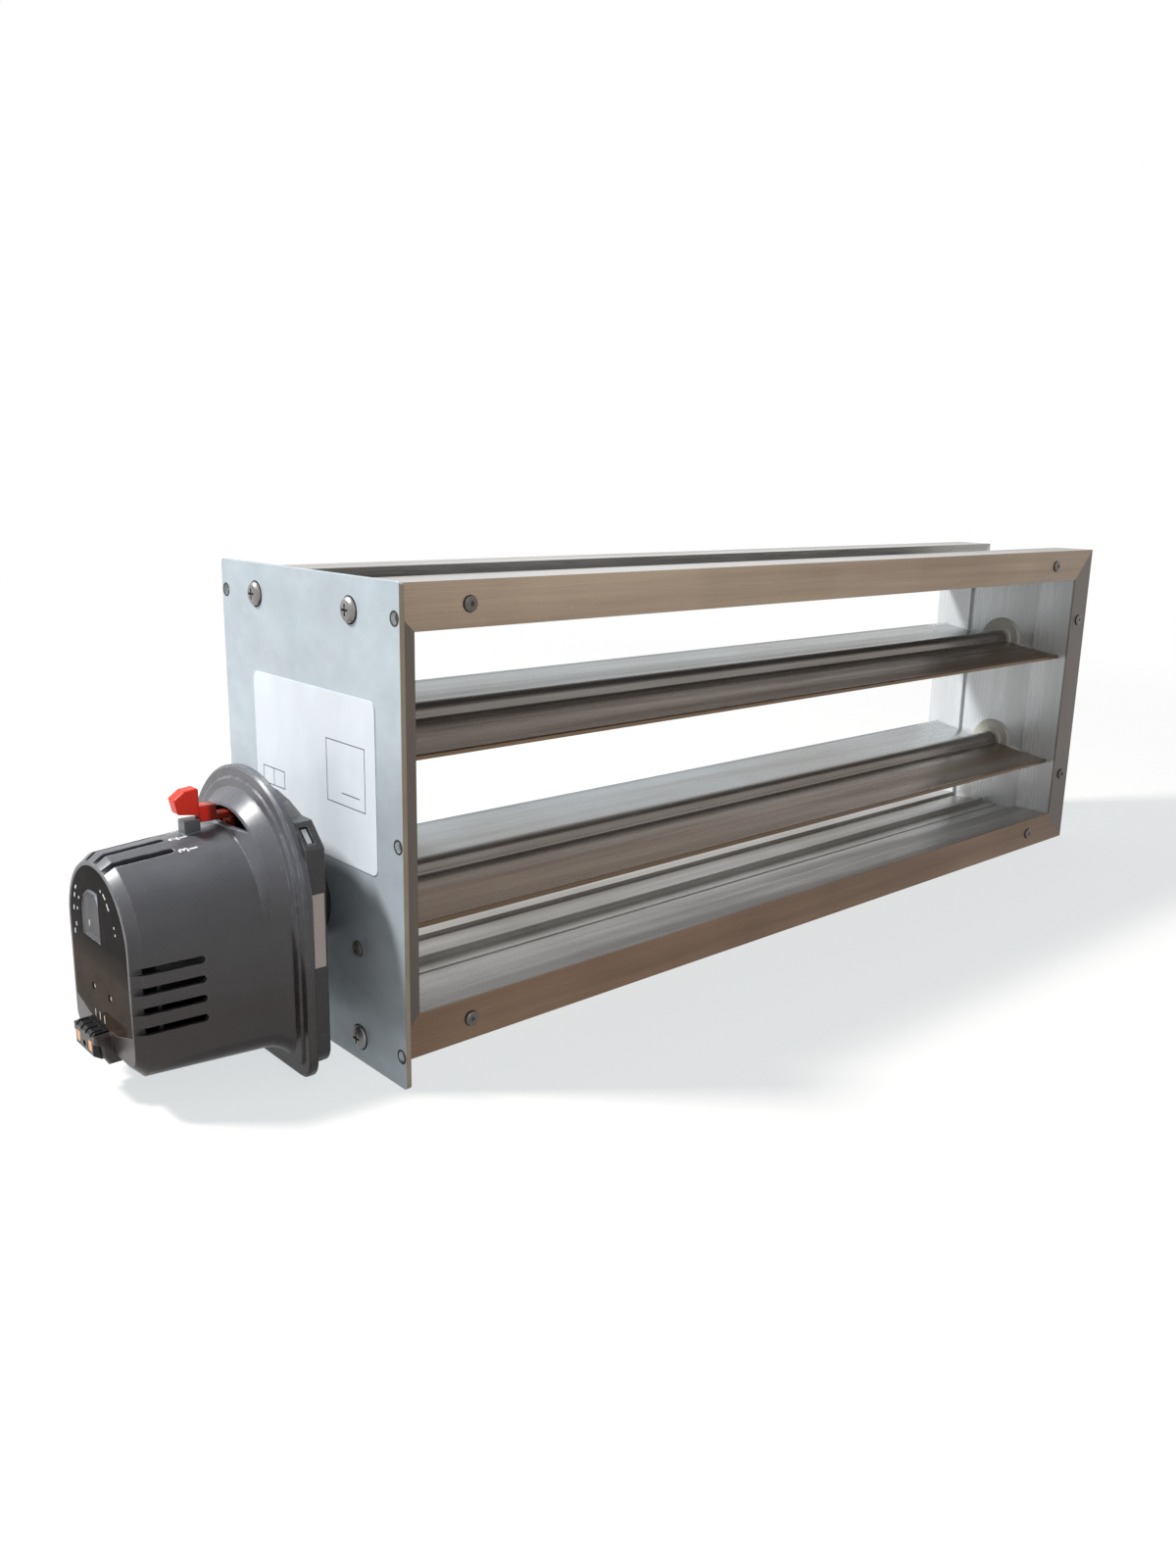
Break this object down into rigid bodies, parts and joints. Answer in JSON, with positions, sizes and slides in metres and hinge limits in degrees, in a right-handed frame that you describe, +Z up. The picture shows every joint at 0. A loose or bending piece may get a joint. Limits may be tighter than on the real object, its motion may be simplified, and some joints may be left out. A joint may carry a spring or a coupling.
{
  "type": "motorised rectangular duct damper",
  "caption": "Flat rectangular duct damper: mitred hollow frame, coupled parallel blades, end mounting plate and a geared rotary actuator with position dial and range lever.",
  "frame": {"origin": "centre of the bounding box's bottom face", "axes": "+X along the blades, from the actuator end to the far end; +Y along the airflow, from the face seen in the picture to the rear; +Z up"},
  "size_m": [0.651, 0.14, 0.1985],
  "materials": {
    "frame_aluminium": "mill finish, drawn lengthways",
    "key_metal": "rough",
    "plate_steel": "satin galvanised",
    "fastener_steel": "bright zinc",
    "shaft_steel": "turned",
    "linkage_steel": "zinc plated",
    "bearing_nylon": "moulded, ivory",
    "label_white": "white film",
    "housing_plastic": "fine grain, charcoal",
    "panel_gloss": "glossy black",
    "window_clear": "clear",
    "dial_grey": "blue grey",
    "board_green": "coated",
    "light_lens": "clear lens",
    "release_orange": "moulded, orange",
    "lever_red": "moulded, red",
    "gear_plastic": "moulded, off-white",
    "motor_metal": "drawn can",
    "switch_plastic": "black"
  },
  "bodies": {
    "frame": {"actuator_base": "housing_plastic", "actuator_collar": "housing_plastic", "actuator_cover": "housing_plastic", "base_screws": "fastener_steel", "base_sticker": "label_white", "board_posts": "fastener_steel", "bottom_blade_stop": "frame_aluminium", "bottom_rail": "frame_aluminium", "carrier_posts": "fastener_steel", "circuit_board": "board_green", "collar_screws": "fastener_steel", "corner_keys": "key_metal", "cover_screws": "fastener_steel", "drive_motor": "motor_metal", "face_panel": "panel_gloss", "frame_rivets": "fastener_steel", "front_carrier_plate": "linkage_steel", "indicator_window": "window_clear", "intermediate_axle": "fastener_steel", "left_jamb": "frame_aluminium", "limit_switches": "switch_plastic", "lower_left_bearing": "bearing_nylon", "lower_right_bearing": "bearing_nylon", "mounting_plate": "plate_steel", "plate_rivets": "fastener_steel", "plate_screws": "fastener_steel", "rating_label": "label_white", "rear_carrier_plate": "linkage_steel", "right_jamb": "frame_aluminium", "status_lights": "light_lens", "terminal_block": "housing_plastic", "top_blade_stop": "frame_aluminium", "top_rail": "frame_aluminium", "upper_left_bearing": "bearing_nylon", "upper_right_bearing": "bearing_nylon"},
    "lower_blade_assembly": {"lower_blade": "frame_aluminium", "lower_drive_shaft": "shaft_steel", "lower_end_pin": "shaft_steel", "lower_crank": "linkage_steel", "lower_crank_screw": "fastener_steel", "lower_link_pin": "fastener_steel", "output_gear": "gear_plastic", "indicator_stem": "shaft_steel", "indicator_dial": "dial_grey", "limit_cam": "gear_plastic"},
    "upper_blade_assembly": {"upper_blade": "frame_aluminium", "upper_drive_shaft": "shaft_steel", "upper_end_pin": "shaft_steel", "upper_crank": "linkage_steel", "upper_crank_screw": "fastener_steel", "upper_link_pin": "fastener_steel"},
    "link": {"link_bar": "linkage_steel"},
    "reduction_gear": {"intermediate_gear": "gear_plastic"},
    "motor_rotor": {"motor_pinion": "gear_plastic", "motor_shaft": "fastener_steel"},
    "range_lever": {"range_stop_lever": "lever_red"},
    "left_release": {"terminal_release_left": "release_orange"},
    "right_release": {"terminal_release_right": "release_orange"}
  },
  "joints": [
    {"name": "blade_turn", "type": "hinge", "parent": "frame", "child": "lower_blade_assembly", "pos_m": [0.049, 0.002, 0.0625], "axis": [1, 0, 0], "range_deg": [-8.5, 78.5]},
    {"name": "upper_blade_turn", "type": "hinge", "parent": "frame", "child": "upper_blade_assembly", "pos_m": [0.049, 0.002, 0.1335], "axis": [1, 0, 0], "range_deg": [-8.5, 78.5]},
    {"name": "link_swing", "type": "hinge", "parent": "lower_blade_assembly", "child": "link", "pos_m": [-0.2205, 0.01511, 0.05332], "axis": [1, 0, 0], "range_deg": [-78.5, 8.5]},
    {"name": "reduction_turn", "type": "hinge", "parent": "frame", "child": "reduction_gear", "pos_m": [-0.2655, 0.002, 0.0385], "axis": [1, 0, 0], "range_deg": [-315, 35]},
    {"name": "motor_turn", "type": "hinge", "parent": "frame", "child": "motor_rotor", "pos_m": [-0.2685, 0.0212, 0.0385], "axis": [1, 0, 0], "range_deg": [-104, 944]},
    {"name": "range_lever_turn", "type": "hinge", "parent": "frame", "child": "range_lever", "pos_m": [-0.2645, 0.002, 0.0625], "axis": [1, 0, 0], "range_deg": [-14, 14]},
    {"name": "left_release_press", "type": "slide", "parent": "frame", "child": "left_release", "axis": [1, 0, 0], "range_m": [0, 0.0012], "stiffness_N_per_m": 400, "springref_m": -0.0005},
    {"name": "right_release_press", "type": "slide", "parent": "frame", "child": "right_release", "axis": [1, 0, 0], "range_m": [0, 0.0012], "stiffness_N_per_m": 400, "springref_m": -0.0005}
  ],
  "couplings": [
    {"joint": "upper_blade_turn", "follows": "blade_turn", "ratio": 1},
    {"joint": "link_swing", "follows": "blade_turn", "ratio": -1},
    {"joint": "reduction_turn", "follows": "blade_turn", "ratio": -4},
    {"joint": "motor_turn", "follows": "blade_turn", "ratio": 12}
  ]
}
